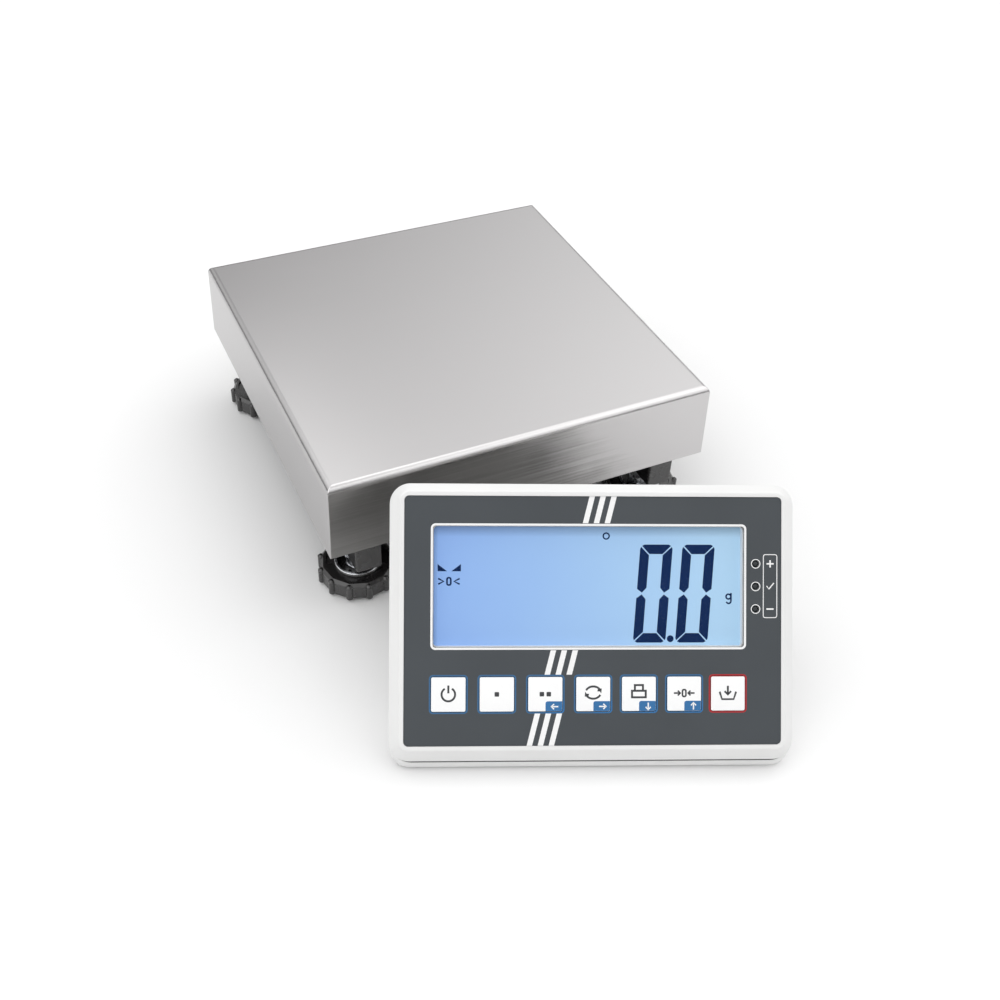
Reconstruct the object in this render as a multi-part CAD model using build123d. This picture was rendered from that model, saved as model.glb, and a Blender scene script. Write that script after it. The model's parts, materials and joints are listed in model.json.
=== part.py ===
from build123d import *
import os
from math import cos, radians, sin, sqrt

# Bench scale in two units: a square weighing platform on four levelling feet, and a separate display unit
# that leans back on its own base facet and a folding rear stand. Millimetres, +Z up, bench at Z = 0. The origin
# is on the bench, at the middle of the whole object's footprint. The platform's front faces -Y.

# ---- driving dimensions: where the two units stand ----
PLATFORM_CENTRE = (3.593, 91.455)
DISPLAY_CENTRE = (-32.5, -261.0)      # foil's lower edge, from the platform's centre
DISPLAY_YAW = 23.0                    # the display unit is turned to the left, about Z
FACE_RISE = 43.0                      # elevation of the display's face normal
FOIL_EDGE_HEIGHT = 17.0               # foil's lower edge above the bench

# ---- driving dimensions: weighing plate ----
PLATE = 230.0
PLATE_TOP = 92.0
SKIRT_BOTTOM = 44.7
SKIRT_FLARE = 1.2                     # each side, at the skirt's lower edge
SHEET = 1.2
PLATE_BEND = 4.0
PLATE_CORNER = 0.7                    # ground corner of two welded skirt walls

# ---- driving dimensions: base frame and feet ----
FOOT_X = 93.0
FRONT_FOOT_Y = -90.5
REAR_FOOT_Y = 86.5
BUSH_RADIUS = 5.6
BUSH_TOP = 36.0
RAIL_WIDTH = 15.0
RAIL_HEIGHT = 28.0
RAIL_BOTTOM = 22.0
RAIL_LENGTH = 217.0
RAIL_WALL = 2.0
CAP_FACE = 2.0
CROSS_Y = 50.0
CROSS_DEPTH = 30.0
CROSS_BOTTOM = 26.0
CROSS_TOP = 48.0
STUD_RADIUS = 4.0
STUD_CLEARANCE = 0.06
WHEEL_RADIUS = 23.3
WHEEL_BOTTOM = 2.0
WHEEL_TOP = 12.2
WHEEL_RIBS = 12
RIB_RADIUS = 1.9
WHEEL_PHASES = {"front_left": 27.2, "front_right": 5.0, "rear_left": 18.3, "rear_right": 12.0}

# ---- driving dimensions: load cell and carrier ----
CELL_LENGTH = 130.0
CELL_WIDTH = 30.0
CELL_BOTTOM = 52.0
CELL_TOP = 74.0
CARRIER_BOTTOM = 78.0
CARRIER_TOP = 84.0
CARRIER_REACH = 88.0                  # corner pads, from the centre, in X and in Y
STOP_Y = 78.0
STOP_GAP = 0.6                        # overload stop under the carrier
CELL_BOLT_PITCH = 16.0
CELL_BOLT_RADIUS = 3.0
GLAND_Y = -14.0                       # cable gland in the right rail
GLAND_Z = 36.0
GLAND_BORE = 2.6
LEVEL_X = 58.0                        # round spirit level on the rear cross member

# ---- driving dimensions: display unit. U across, V up the face, N out of the face ----
FOIL_W = 186.4
FOIL_H = 122.3
FOIL_THICK = 0.8
FOIL_CORNER = 2.4
LIP = 0.4                             # housing's lip above the foil
SEAM_N = -6.0                         # joint line behind the foil's face
GASKET = 0.5
BACK_N = -32.0
WALL = 2.5
LIP_OUTLINE = (95.4, -2.25, 124.6, 4.6)       # half width, low, high, corner radius
SEAM_OUTLINE = (101.2, -9.15, 128.8, 11.0)
RIM_OUTLINE = (100.6, -9.5, 128.2, 11.4)      # rear cover at the joint line
REAR_OUTLINE = (100.6, -12.9, 128.2, 11.4)    # rear cover where it is widest
REAR_N = -10.5
BACK_OUTLINE = (95.5, -8.0, 120.5, 9.0)
FACET_HEIGHT = 1.8                    # base facet above the bench
WINDOW = (-2.3, 77.9, 153.8, 59.6)            # centre U, centre V, width, height
LENS_MARGIN = 2.2
LCD_FACE_N = -6.4
BOARD_FRONT_N = -12.7
BOARD_THICK = 1.6
KEY_SIZE = 17.0
KEY_GAP = 0.3
OPENING_CORNER = 1.4
KEY_V = 25.25
KEY_U = {"key_power": -71.4, "key_f1": -47.7, "key_f2": -23.9, "key_cycle": -0.3,
         "key_print": 22.3, "key_zero": 44.8, "key_tare": 66.6}
KEY_PROUD = 0.3
LAMP_U = 80.45
LAMP_V = (66.9, 78.1, 89.3)
SCREW_U = 88.0
SCREW_V = (16.0, 61.0, 112.0)
WALL_PATTERN = 75.0                   # square pattern of brass inserts in the back
INSERT_BORE = 1.65
BATTERY_V = 72.5
DOOR_W = 66.0
DOOR_H = 39.6
DOOR_THICK = 1.6
STAND_U = 62.0
STAND_V = 90.0
STAND_N = -37.5
STAND_LEAN = 6.0                      # open stand, from the vertical
STAND_ARM = 14.0
STAND_SHEET = 2.5
STAND_LENGTH = 54.0
PIN_RADIUS = 2.0
SOCKET_V = 109.5
GLAND_U = 62.0
DATA_U = 16.0
POWER_U = -44.0

CENTRE_MIN = (Align.CENTER, Align.CENTER, Align.MIN)

# The way up, seen from the display: its face leans back, so up has a part along V and a part along N.
UP = Vector(0, cos(radians(FACE_RISE)), sin(radians(FACE_RISE)))


# ---- general helpers ----
def group(*shapes):
    """One node of several separate solids."""
    solids = []
    for shape in shapes:
        solids.extend(shape.solids())
    return Compound(solids)


def slab(width, depth, low, high, radius=0.0, x=0.0, y=0.0):
    """A plate or block with rounded upright edges, from one height to another."""
    outline = RectangleRounded(width, depth, radius) if radius else Rectangle(width, depth)
    return extrude(Pos(x, y, low) * outline, high - low)


def rod(radius, low, high, x=0.0, y=0.0):
    return Pos(x, y, low) * Cylinder(radius, high - low, align=CENTRE_MIN)


def hexagon(across_flats, low, high, x=0.0, y=0.0):
    outline = RegularPolygon(across_flats / 2, 6, major_radius=False)
    return extrude(Pos(x, y, low) * outline, high - low)


def four_corners(x, y):
    return [(-x, -y), (x, -y), (-x, y), (x, y)]


def foot_points():
    return [(x, y) for y in (FRONT_FOOT_Y, REAR_FOOT_Y) for x in (-FOOT_X, FOOT_X)]


# ---- weighing platform ----
def folded_tray(inset, top, bend):
    """A solid block of the weighing plate's outer or inner shape: a skirt that flares a little, and a top
    with bent edges."""
    size = PLATE - 2 * inset
    low = Rectangle(size + 2 * SKIRT_FLARE, size + 2 * SKIRT_FLARE)
    high = Rectangle(size, size)
    block = loft([Pos(0, 0, SKIRT_BOTTOM) * low, Pos(0, 0, top) * high], ruled=True)
    return fillet(block.faces().sort_by(Axis.Z)[-1].edges(), bend)


def weighing_plate():
    outer = folded_tray(0, PLATE_TOP, PLATE_BEND)
    near_corner = PLATE / 2 - 3.0
    corners = [edge for edge in outer.edges()
               if abs(edge.center().X) > near_corner and abs(edge.center().Y) > near_corner and
               edge.bounding_box().size.Z > 1.0]
    outer = fillet(corners, PLATE_CORNER)
    return outer - folded_tray(SHEET, PLATE_TOP - SHEET, PLATE_BEND - SHEET)


def load_carrier():
    """Cross-shaped carrier: a centre plate, four arms to the corners and a round pad on each arm's end."""
    span = 2 * sqrt(2) * CARRIER_REACH
    carrier = slab(96, 96, CARRIER_BOTTOM, CARRIER_TOP, radius=14)
    for turn in (45, -45):
        carrier += Rot(0, 0, turn) * slab(span, 20, CARRIER_BOTTOM, CARRIER_TOP)
    for x, y in four_corners(CARRIER_REACH, CARRIER_REACH):
        carrier += rod(12, CARRIER_BOTTOM, CARRIER_TOP, x, y)
    for x in (-CELL_BOLT_PITCH / 2, CELL_BOLT_PITCH / 2):
        carrier -= rod(CELL_BOLT_RADIUS + 0.3, CARRIER_BOTTOM - 1, CARRIER_TOP + 1, x, CROSS_Y - 10)
    return carrier


def plate_buffers():
    """Rubber buffers between the carrier's pads and the underside of the weighing plate."""
    discs = []
    for x, y in four_corners(CARRIER_REACH, CARRIER_REACH):
        disc = rod(9, CARRIER_TOP, PLATE_TOP - SHEET, x, y)
        discs.append(chamfer(disc.edges().group_by(Axis.Z)[-1], 1.0))
    return group(*discs)


def load_cell():
    """Single-point cell: a bar with a double-hole window that makes its two bending arms."""
    bar = slab(CELL_WIDTH, CELL_LENGTH, CELL_BOTTOM, CELL_TOP, radius=0.8)
    middle = (CELL_BOTTOM + CELL_TOP) / 2
    for y in (-15, 15):
        bar -= Pos(0, y, middle) * Rot(0, 90, 0) * Cylinder(8.5, CELL_WIDTH + 2)
    bar -= Pos(0, 0, middle) * Box(CELL_WIDTH + 2, 30, 7)
    for x in (-CELL_BOLT_PITCH / 2, CELL_BOLT_PITCH / 2):
        bar -= rod(CELL_BOLT_RADIUS + 0.05, CELL_BOTTOM - 1, CELL_TOP + 1, x, -CROSS_Y)
        bar -= rod(CELL_BOLT_RADIUS + 0.05, CELL_TOP - 12, CELL_TOP + 1, x, CROSS_Y - 10)
    return bar


def cell_spacer(low, high, y, depth):
    plate = slab(CELL_WIDTH, depth, low, high, y=y)
    for x in (-CELL_BOLT_PITCH / 2, CELL_BOLT_PITCH / 2):
        plate -= rod(CELL_BOLT_RADIUS + 0.3, low - 1, high + 1, x, y)
    return plate


def socket_bolt(x, y, head_low, head_high, tip):
    """A socket-head bolt. The head is between its two heights, and the shank runs to the tip."""
    shank_from = head_high if tip > head_high else tip
    shank_to = tip if tip > head_high else head_low
    bolt = rod(5.0, head_low, head_high, x, y) + rod(CELL_BOLT_RADIUS, shank_from, shank_to, x, y)
    outer_face = head_low if tip > head_high else head_high - 3.0
    return bolt - hexagon(5.0, outer_face, outer_face + 3.0, x, y)


def cell_base_bolts():
    """Two bolts from under the front cross member, up into the fixed end of the cell."""
    low = CROSS_BOTTOM - 6.0
    half = CELL_BOLT_PITCH / 2
    return group(*[socket_bolt(x, -CROSS_Y, low, CROSS_BOTTOM, CELL_TOP - 6) for x in (-half, half)])


def cell_top_bolts():
    """Two bolts from above the carrier, down into the free end of the cell."""
    half = CELL_BOLT_PITCH / 2
    high = CARRIER_TOP + 5.0
    return group(*[socket_bolt(x, CROSS_Y - 10, CARRIER_TOP, high, CELL_TOP - 11) for x in (-half, half)])


def side_rails():
    """Two box-section rails. Each has a hole for the foot's bush near both ends, and the right one has the
    gland's hole."""
    rails = []
    for side in (-1, 1):
        x = side * FOOT_X
        tube = slab(RAIL_WIDTH, RAIL_LENGTH, RAIL_BOTTOM, RAIL_BOTTOM + RAIL_HEIGHT, x=x)
        tube = fillet(tube.edges().filter_by(Axis.Y), 1.6)
        tube -= slab(RAIL_WIDTH - 2 * RAIL_WALL, RAIL_LENGTH + 2, RAIL_BOTTOM + RAIL_WALL,
                     RAIL_BOTTOM + RAIL_HEIGHT - RAIL_WALL, x=x)
        for y in (FRONT_FOOT_Y, REAR_FOOT_Y):
            tube -= rod(BUSH_RADIUS, RAIL_BOTTOM - 1, RAIL_BOTTOM + RAIL_WALL + 1, x, y)
        for y in (-STOP_Y, STOP_Y):
            tube -= rod(3.0, RAIL_BOTTOM + RAIL_HEIGHT - RAIL_WALL - 1, RAIL_BOTTOM + RAIL_HEIGHT + 1, x, y)
        if side > 0:
            tube -= Pos(x, GLAND_Y, GLAND_Z) * Rot(0, 90, 0) * Cylinder(6.0, RAIL_WIDTH + 2)
        rails.append(tube)
    return group(*rails)


def rail_caps():
    """Plastic caps that close the rails' four ends, each with a plug inside the tube."""
    caps = []
    middle = RAIL_BOTTOM + RAIL_HEIGHT / 2
    for x, side in [(x, side) for x in (-FOOT_X, FOOT_X) for side in (-1, 1)]:
        end = side * RAIL_LENGTH / 2
        face = Pos(x, end + side * CAP_FACE / 2, middle) * Box(RAIL_WIDTH, CAP_FACE, RAIL_HEIGHT)
        face = fillet(face.edges().filter_by(Axis.Y), 1.6)
        face = fillet(face.faces().sort_by(Axis.Y)[-1 if side > 0 else 0].edges(), 0.7)
        plug_size = (RAIL_WIDTH - 2 * RAIL_WALL - 0.1, 8, RAIL_HEIGHT - 2 * RAIL_WALL - 0.1)
        plug = Pos(x, end - side * 4, middle) * Box(*plug_size)
        caps.append(face + plug)
    return group(*caps)


def cross_members():
    """Two box sections between the rails. The front one carries the cell's fixed end."""
    members = []
    length = 2 * FOOT_X - RAIL_WIDTH
    for y in (-CROSS_Y, CROSS_Y):
        tube = slab(length, CROSS_DEPTH, CROSS_BOTTOM, CROSS_TOP, y=y)
        tube = fillet(tube.edges().filter_by(Axis.X), 1.6)
        depth = CROSS_DEPTH - 2 * RAIL_WALL
        tube -= slab(length + 2, depth, CROSS_BOTTOM + RAIL_WALL, CROSS_TOP - RAIL_WALL, y=y)
        if y < 0:
            for x in (-CELL_BOLT_PITCH / 2, CELL_BOLT_PITCH / 2):
                tube -= rod(CELL_BOLT_RADIUS + 0.3, CROSS_BOTTOM - 1, CROSS_TOP + 1, x, y)
        members.append(tube)
    return group(*members)


def foot_bushes():
    """Threaded bushes in the rails, shown with a plain bore at the thread's size."""
    bushes = []
    for x, y in foot_points():
        bush = rod(BUSH_RADIUS, RAIL_BOTTOM, RAIL_BOTTOM + RAIL_WALL, x, y)
        bush += rod(5.4, RAIL_BOTTOM + RAIL_WALL, BUSH_TOP, x, y)
        bush += rod(6.8, RAIL_BOTTOM - 1.0, RAIL_BOTTOM, x, y)
        bushes.append(bush - rod(STUD_RADIUS + STUD_CLEARANCE, RAIL_BOTTOM - 2, BUSH_TOP + 1, x, y))
    return group(*bushes)


def foot_lock_nuts():
    """Lock nuts against the bushes, each chamfered as a rolled nut is."""
    nuts = []
    for x, y in foot_points():
        nut = hexagon(13.0, RAIL_BOTTOM - 6.0, RAIL_BOTTOM - 1.0, x, y)
        cone_low = Pos(x, y, RAIL_BOTTOM - 6.0) * Cone(6.4, 7.7, 1.3, align=CENTRE_MIN)
        cone_high = Pos(x, y, RAIL_BOTTOM - 2.3) * Cone(7.7, 6.4, 1.3, align=CENTRE_MIN)
        nut &= cone_low + rod(7.7, RAIL_BOTTOM - 4.7, RAIL_BOTTOM - 2.3, x, y) + cone_high
        nuts.append(nut - rod(STUD_RADIUS + STUD_CLEARANCE, RAIL_BOTTOM - 7, RAIL_BOTTOM, x, y))
    return group(*nuts)


def foot_wheel(phase):
    """Star wheel: a twelve-sided disc with a narrow rounded rib on each of its corners, a ring-shaped recess
    on top, a raised rim round the stud's recess, and a wide shallow recess below for the rubber pad."""
    rib_circle = WHEEL_RADIUS - RIB_RADIUS
    sides = RegularPolygon(rib_circle + 0.5, WHEEL_RIBS, major_radius=True)
    disc = extrude(Pos(0, 0, WHEEL_BOTTOM) * sides, WHEEL_TOP - WHEEL_BOTTOM)
    disc = chamfer(disc.faces().sort_by(Axis.Z)[-1].edges(), 1.6)
    for index in range(WHEEL_RIBS):
        angle = radians(index * 360 / WHEEL_RIBS)
        x, y = rib_circle * cos(angle), rib_circle * sin(angle)
        rib = rod(RIB_RADIUS, WHEEL_BOTTOM, WHEEL_TOP - 0.2, x, y)
        disc += chamfer(rib.edges().group_by(Axis.Z)[-1], 1.1)
    disc -= rod(18.2, WHEEL_TOP - 1.4, WHEEL_TOP + 1)
    rim = rod(13.2, WHEEL_TOP - 2.0, WHEEL_TOP)
    disc += chamfer(rim.edges().group_by(Axis.Z)[-1], 0.9)
    disc -= rod(11.5, WHEEL_TOP - 4.6, WHEEL_TOP + 1)
    disc -= rod(18.0, WHEEL_BOTTOM - 1, WHEEL_BOTTOM + 2.2)
    disc -= rod(STUD_RADIUS, WHEEL_BOTTOM, WHEEL_TOP)
    disc -= hexagon(13.0, WHEEL_TOP - 5.6, WHEEL_TOP)
    return Rot(0, 0, phase) * disc


def foot_stud(phase):
    """Threaded stud with a hexagon collar that is moulded into the wheel."""
    collar_low = WHEEL_TOP - 5.6
    stud = rod(STUD_RADIUS, WHEEL_BOTTOM + 2.2, 44.0)
    stud = chamfer(stud.edges().group_by(Axis.Z)[-1], 0.8)
    cone = Pos(0, 0, collar_low + 4.7) * Cone(7.7, 6.4, 1.3, align=CENTRE_MIN)
    collar = hexagon(13.0, collar_low, collar_low + 6.0) & (rod(7.7, collar_low, collar_low + 4.7) + cone)
    return Rot(0, 0, phase) * (stud + collar)


def foot_pad():
    """Rubber pad that stands on the bench and turns freely in the wheel's lower recess."""
    pad = rod(17.0, 0, WHEEL_BOTTOM + 2.1)
    return chamfer(pad.edges().group_by(Axis.Z)[0], 0.6)


def overload_stops():
    """Stop screws in the rails' upper walls, each locked with a nut, just clear of the carrier."""
    stops = []
    top = RAIL_BOTTOM + RAIL_HEIGHT
    for x, y in four_corners(FOOT_X, STOP_Y):
        screw = rod(2.95, top - 10, CARRIER_BOTTOM - STOP_GAP, x, y)
        screw += hexagon(10.0, CARRIER_BOTTOM - STOP_GAP - 4, CARRIER_BOTTOM - STOP_GAP, x, y)
        screw += hexagon(10.0, top, top + 5, x, y)
        stops.append(screw)
    return group(*stops)


def cell_cable():
    """The cell's lead, held between the cell's side and the gland in the right rail."""
    start = (CELL_WIDTH / 2, -30, 63)
    points = [start, (38, -30, 63), (62, GLAND_Y, GLAND_Z), (FOOT_X - RAIL_WIDTH / 2 - 6, GLAND_Y, GLAND_Z)]
    path = FilletPolyline(*points, radius=20)
    return sweep(Plane(origin=start, z_dir=(1, 0, 0)) * Circle(2.4), path=path)


def frame_gland():
    """Cable gland through the right rail: inner nut, barrel, hexagon and domed cap, with an open bore."""
    inner_face = -RAIL_WIDTH / 2
    outer_face = RAIL_WIDTH / 2
    gland = rod(5.9, inner_face, outer_face) + hexagon(14.0, inner_face - 4, inner_face)
    gland += hexagon(14.0, outer_face, outer_face + 3) + rod(6.4, outer_face + 3, outer_face + 9)
    gland = chamfer(gland.edges().group_by(Axis.Z)[-1], 1.2)
    gland -= rod(GLAND_BORE, inner_face - 5, outer_face + 10)
    return Pos(FOOT_X, GLAND_Y, GLAND_Z) * Rot(0, 90, 0) * gland


def level_housing():
    """Housing of the round spirit level, screwed to the rear cross member."""
    housing = rod(10.0, CROSS_TOP, CROSS_TOP + 9, LEVEL_X, CROSS_Y)
    housing += slab(32, 12, CROSS_TOP, CROSS_TOP + 2, radius=5.9, x=LEVEL_X, y=CROSS_Y)
    return housing - rod(8.0, CROSS_TOP + 2.5, CROSS_TOP + 10, LEVEL_X, CROSS_Y)


def level_vial():
    vial = rod(8.0, CROSS_TOP + 2.5, CROSS_TOP + 8.6, LEVEL_X, CROSS_Y)
    return fillet(vial.edges().group_by(Axis.Z)[-1], 1.0)


# ---- display unit, in its own frame: X is U, Y is V, Z is N, origin at the foil's lower edge ----
def outline(half_width, low, high, radius, n, inset=0.0):
    sketch = RectangleRounded(2 * (half_width - inset), high - low - 2 * inset, radius - inset)
    return Pos(0, (low + high) / 2, n) * sketch


def bench_cut(height):
    """Everything lower than a height above the bench, seen from the display."""
    plane = Plane(origin=UP * (height - FOIL_EDGE_HEIGHT), x_dir=(1, 0, 0), z_dir=-UP)
    return plane.location * Box(400, 400, 100, align=CENTRE_MIN)


def screw_points():
    return [(side * SCREW_U, v) for side in (-1, 1) for v in SCREW_V]


def insert_points():
    half = WALL_PATTERN / 2
    middle = FOIL_H / 2
    return [(u, middle + v) for u, v in four_corners(half, half)]


def key_opening(u, low, high):
    size = KEY_SIZE + 2 * KEY_GAP
    return slab(size, size, low, high, radius=OPENING_CORNER, x=u, y=KEY_V)


def front_shell():
    """Front half of the housing: a lip round the foil, bevelled sides, and a plate behind the foil."""
    plate_back = -FOIL_THICK - 2.2
    shell = loft([outline(*SEAM_OUTLINE, SEAM_N), outline(*LIP_OUTLINE, LIP)], ruled=True)
    shell = fillet(shell.faces().sort_by(Axis.Z)[-1].edges(), 1.2)
    shell = fillet(shell.faces().sort_by(Axis.Z)[0].edges(), 0.5)
    cavity_low = outline(98.6, -6.5, 126.2, 8.4, SEAM_N)
    cavity_high = outline(95.9, -3.6, 124.6, 6.4, plate_back)
    shell -= loft([cavity_low, cavity_high], ruled=True)
    shell -= slab(FOIL_W + 0.2, FOIL_H + 0.2, -FOIL_THICK, LIP + 1, radius=FOIL_CORNER, y=FOIL_H / 2)
    window_u, window_v, width, height = WINDOW
    shell -= slab(width + 2 * LENS_MARGIN + 0.2, height + 2 * LENS_MARGIN + 0.2, -2.0, 0, radius=2,
                  x=window_u, y=window_v)
    shell -= slab(width - 0.6, height - 0.6, plate_back - 1, 0, radius=2, x=window_u, y=window_v)
    for u in KEY_U.values():
        shell -= key_opening(u, plate_back - 1, 0)
    for v in LAMP_V:
        shell -= rod(1.9, plate_back - 1, 0, LAMP_U, v)
    for u, v in screw_points():
        shell += rod(4.0, BOARD_FRONT_N, plate_back, u, v)
        shell -= rod(1.55, BOARD_FRONT_N - 1, BOARD_FRONT_N + 6, u, v)
    return shell


def housing_gasket():
    """Rubber seal in the joint line, set back from the outside so that the joint shows as a dark line."""
    low_n = SEAM_N - GASKET
    ring = extrude(outline(*RIM_OUTLINE, low_n, inset=0.5), GASKET)
    return ring - extrude(outline(98.6, -6.5, 126.2, 8.4, low_n - 1), GASKET + 2)


def rear_block(inset, back_n, bench):
    """The rear cover's outer or inner shape, closed at the back and cut flat where it faces the bench. Its lower
    side bulges below the joint line."""
    front = outline(*RIM_OUTLINE, SEAM_N - GASKET, inset=inset)
    widest = outline(*REAR_OUTLINE, REAR_N, inset=inset)
    back = outline(*BACK_OUTLINE, back_n, inset=inset)
    return loft([back, widest, front], ruled=True) - bench_cut(bench)


def lug(u):
    """One ear of the stand's hinge, standing out of the housing's back."""
    ear = Pos(u, STAND_V, STAND_N) * Rot(0, 90, 0) * Cylinder(5.0, 4.0)
    foot = Pos(u, STAND_V, (STAND_N + BACK_N) / 2) * Box(4.0, 10.0, BACK_N - STAND_N)
    return ear + foot


def lug_offsets():
    """Distance of each hinge ear from the middle: two ears beside each arm of the stand."""
    reach = STAND_ARM / 2 + 0.3 + 2.0
    return [side * (STAND_U + step) for side in (-1, 1) for step in (-reach, reach)]


def rear_cover():
    """Rear half of the housing, with the base facet, screw posts, battery well, hinge ears and openings."""
    inner_n = BACK_N + WALL
    body = rear_block(0, BACK_N, FACET_HEIGHT)
    body = fillet(body.faces().sort_by(Axis.Z)[0].edges(), 2.0)
    body = fillet(body.faces().sort_by(Axis.Z)[-1].edges(), 0.5)
    cover = body - rear_block(WALL, inner_n, FACET_HEIGHT + WALL)
    well_floor = BOARD_FRONT_N - BOARD_THICK - 2.4
    cover += slab(63, 38.8, BACK_N + 0.2, well_floor, y=BATTERY_V)
    cover -= slab(59.4, 35.4, BACK_N - 1, well_floor - 1.4, y=BATTERY_V)
    cover -= slab(DOOR_W + 0.6, DOOR_H + 0.6, BACK_N - 1, BACK_N + DOOR_THICK, radius=2, y=BATTERY_V)
    for u, v in screw_points():
        cover += rod(4.0, inner_n - 1, BOARD_FRONT_N - BOARD_THICK, u, v)
        cover -= rod(1.7, BACK_N - 1, BOARD_FRONT_N, u, v)
        cover -= rod(3.2, BACK_N - 1, BACK_N + 3.0, u, v)
    for u, v in insert_points():
        cover += rod(5.5, inner_n - 1, BACK_N + 10.0, u, v)
        cover -= rod(3.5, BACK_N - 1, BACK_N + 8.0, u, v)
    for u in lug_offsets():
        cover += lug(u)
    for side in (-1, 1):
        cover -= Pos(side * STAND_U, STAND_V, STAND_N) * Rot(0, 90, 0) * Cylinder(PIN_RADIUS, 40)
    cover -= rod(6.1, BACK_N - 1, inner_n + 1, GLAND_U, SOCKET_V)
    cover -= slab(20.2, 9.2, BACK_N - 1, inner_n + 1, radius=1.5, x=DATA_U, y=SOCKET_V)
    cover -= rod(4.6, BACK_N - 1, inner_n + 1, POWER_U, SOCKET_V)
    return cover


def display_foil():
    """Printed front foil with openings for the window, the keys and the lamps."""
    foil = slab(FOIL_W, FOIL_H, -FOIL_THICK, 0, radius=FOIL_CORNER, y=FOIL_H / 2)
    window_u, window_v, width, height = WINDOW
    foil -= slab(width, height, -FOIL_THICK - 1, 1, radius=1.4, x=window_u, y=window_v)
    for u in KEY_U.values():
        foil -= key_opening(u, -2, 1)
    for v in LAMP_V:
        foil -= rod(1.8, -2, 1, LAMP_U, v)
    return foil


def lcd_block(low, high, margin, radius=0.6):
    """A flat block behind the window, larger than the window by a margin on each side."""
    window_u, window_v, width, height = WINDOW
    return slab(width + 2 * margin, height + 2 * margin, low, high, radius=radius, x=window_u, y=window_v)


def lcd_bezel():
    return lcd_block(LCD_FACE_N, -3.0, 3.2) - lcd_block(LCD_FACE_N - 1, 0, -0.3)


def key(u):
    """A key: a square pad through the foil, a flange that keeps it in, and a stem towards its switch."""
    pad = slab(KEY_SIZE, KEY_SIZE, -3.9, KEY_PROUD, radius=1.2, x=u, y=KEY_V)
    pad = fillet(pad.edges().group_by(Axis.Z)[-1], 0.25)
    flange = slab(19.6, 19.6, -3.9, -3.05, radius=1.2, x=u, y=KEY_V)
    return pad + flange + rod(3.0, -8.2, -3.9, u, KEY_V)


def key_switches():
    switches = []
    for u in KEY_U.values():
        body = slab(6.0, 6.0, BOARD_FRONT_N, -9.4, x=u, y=KEY_V)
        switches.append(body + rod(1.6, -9.4, -8.8, u, KEY_V))
    return group(*switches)


def status_lamps():
    """Three lamps on the board, each with a domed tip just under the foil's face."""
    lamps = []
    for v in LAMP_V:
        lamp = rod(1.5, BOARD_FRONT_N, -0.5, LAMP_U, v)
        lamps.append(fillet(lamp.edges().group_by(Axis.Z)[-1], 0.9))
    return group(*lamps)


def main_board():
    board = slab(184, 117, BOARD_FRONT_N - BOARD_THICK, BOARD_FRONT_N, radius=2, y=60.5)
    for u, v in screw_points():
        board -= rod(1.7, BOARD_FRONT_N - 3, BOARD_FRONT_N + 1, u, v)
    return board


def board_parts():
    """Chips and connectors on the back of the board, and the beeper."""
    back = BOARD_FRONT_N - BOARD_THICK
    chip = slab(14, 14, back - 1.6, back, x=-50, y=44)
    memory = slab(10, 6, back - 1.6, back, x=-50, y=62)
    converter = slab(9, 18, back - 2.0, back, x=52, y=60)
    regulator = slab(16, 8, back - 4.5, back, x=-66, y=84)
    capacitor = rod(4.0, back - 11, back, -58, 98)
    cell_plug = slab(16, 6, back - 8, back, x=56, y=94)
    keypad_plug = slab(22, 5, back - 4, back, x=0, y=30)
    beeper = rod(6.0, back - 8, back, 52, 36)
    return group(chip, memory, converter, regulator, capacitor, cell_plug, keypad_plug, beeper)


def battery_pack():
    """Flat rechargeable pack of three cells side by side in one wrapper."""
    low = BACK_N + DOOR_THICK + 1.2
    pack = slab(58.0, 34.0, low, low + 11.0, y=BATTERY_V)
    return fillet(pack.edges().filter_by(Axis.X), 4.0)


def battery_door():
    """Door of the battery well, with a finger groove near its lower edge."""
    door = slab(DOOR_W, DOOR_H, BACK_N, BACK_N + DOOR_THICK, radius=1.8, y=BATTERY_V)
    for step in range(3):
        door -= slab(18, 1.0, BACK_N - 1, BACK_N + 0.5, y=BATTERY_V - 14 - 2.2 * step)
    return door


def housing_screws():
    """Six pan-head screws from the back, through the board, into the front shell's posts."""
    screws = []
    for u, v in screw_points():
        head = rod(2.9, BACK_N + 0.8, BACK_N + 3.0, u, v)
        head = fillet(head.edges().group_by(Axis.Z)[0], 0.8)
        screw = head + rod(1.5, BACK_N + 3.0, BOARD_FRONT_N + 5.0, u, v)
        screw -= Pos(u, v, BACK_N + 1.2) * (Box(3.2, 0.7, 1.4) + Box(0.7, 3.2, 1.4))
        screws.append(screw)
    return group(*screws)


def wall_inserts():
    """Brass inserts in a square pattern for a wall or column bracket, with bores at the thread's core."""
    inserts = []
    for u, v in insert_points():
        insert = rod(3.5, BACK_N, BACK_N + 8.0, u, v)
        inserts.append(insert - rod(INSERT_BORE, BACK_N - 1, BACK_N + 8.5, u, v))
    return group(*inserts)


def display_feet():
    """Two rubber strips stuck to the base facet. They stand on the bench."""
    strips = []
    facet_middle = 13.5
    for u in (-62, 62):
        flat = Plane(origin=UP * (FACET_HEIGHT - FOIL_EDGE_HEIGHT), x_dir=(1, 0, 0), z_dir=-UP)
        strip = slab(44, 14, 0, FACET_HEIGHT, radius=3, x=u, y=-facet_middle)
        strips.append(flat.location * strip)
    return group(*strips)


def stand_frame():
    """The open stand's own frame: origin on the hinge line, Y up along the stand, Z towards the rear."""
    lean = radians(FACE_RISE + STAND_LEAN)
    along = Vector(0, cos(lean), sin(lean))
    return Plane(origin=(0, STAND_V, STAND_N), x_dir=(1, 0, 0), z_dir=Vector(1, 0, 0).cross(along))


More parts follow.
